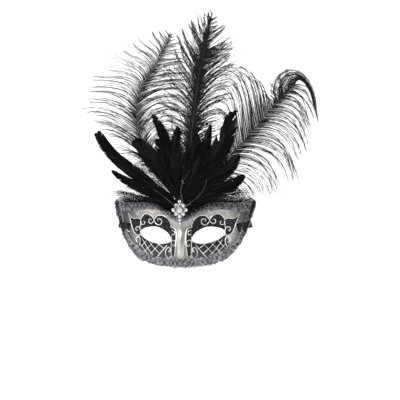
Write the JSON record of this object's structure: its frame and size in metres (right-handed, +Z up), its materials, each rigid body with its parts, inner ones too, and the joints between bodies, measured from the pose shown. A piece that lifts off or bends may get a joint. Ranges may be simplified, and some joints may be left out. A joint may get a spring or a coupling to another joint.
{
  "type": "venetian masquerade mask",
  "caption": "Silver and black venetian eye mask with lace braid, raised scrollwork, a stone-set brooch and a tall spray of black ostrich and coque feathers, tied with two black ribbons.",
  "frame": {"origin": "inside of the nose bridge at eye level, where the mask rests on the face", "axes": "+X the viewer's right, front faces -Y, +Y towards the wearer's head, +Z up"},
  "size_m": [0.3003, 0.0762, 0.3241],
  "materials": {
    "silver_paint": "satin",
    "black_enamel": "gloss",
    "silver_braid": "satin",
    "felt": "matte",
    "brooch_metal": "polished",
    "clear_stone": "polished",
    "ostrich_feather": "matte",
    "coque_feather": "satin",
    "down": "matte",
    "ribbon": "satin"
  },
  "bodies": {
    "root": {"mask_shell": "silver_paint", "left_brow_panel": "black_enamel", "left_leaf_panel": "black_enamel", "left_nose_panel": "black_enamel", "left_cheek_panel": "black_enamel", "right_brow_panel": "black_enamel", "right_leaf_panel": "black_enamel", "right_nose_panel": "black_enamel", "right_cheek_panel": "black_enamel", "upper_braid": "silver_braid", "lower_braid": "silver_braid", "felt_patch": "felt", "brooch_setting": "brooch_metal", "brooch_centre_stone": "clear_stone", "brooch_small_stones": "clear_stone", "brooch_drop_stone": "clear_stone", "left_plume": "ostrich_feather", "centre_plume": "ostrich_feather", "right_plume": "ostrich_feather", "coque_feather_01": "coque_feather", "coque_feather_02": "coque_feather", "coque_feather_03": "coque_feather", "coque_feather_04": "coque_feather", "coque_feather_05": "coque_feather", "coque_feather_06": "coque_feather", "coque_feather_07": "coque_feather", "coque_feather_08": "coque_feather", "coque_feather_09": "coque_feather", "coque_feather_10": "coque_feather", "coque_feather_11": "coque_feather", "coque_feather_12": "coque_feather", "coque_feather_13": "coque_feather", "left_down_tuft": "down", "centre_down_tuft": "down", "right_down_tuft": "down", "quill_binding": "felt", "left_ribbon": "ribbon", "left_ribbon_hank": "ribbon", "left_hank_tie": "ribbon", "right_ribbon": "ribbon", "right_ribbon_hank": "ribbon", "right_hank_tie": "ribbon"}
  },
  "joints": []
}
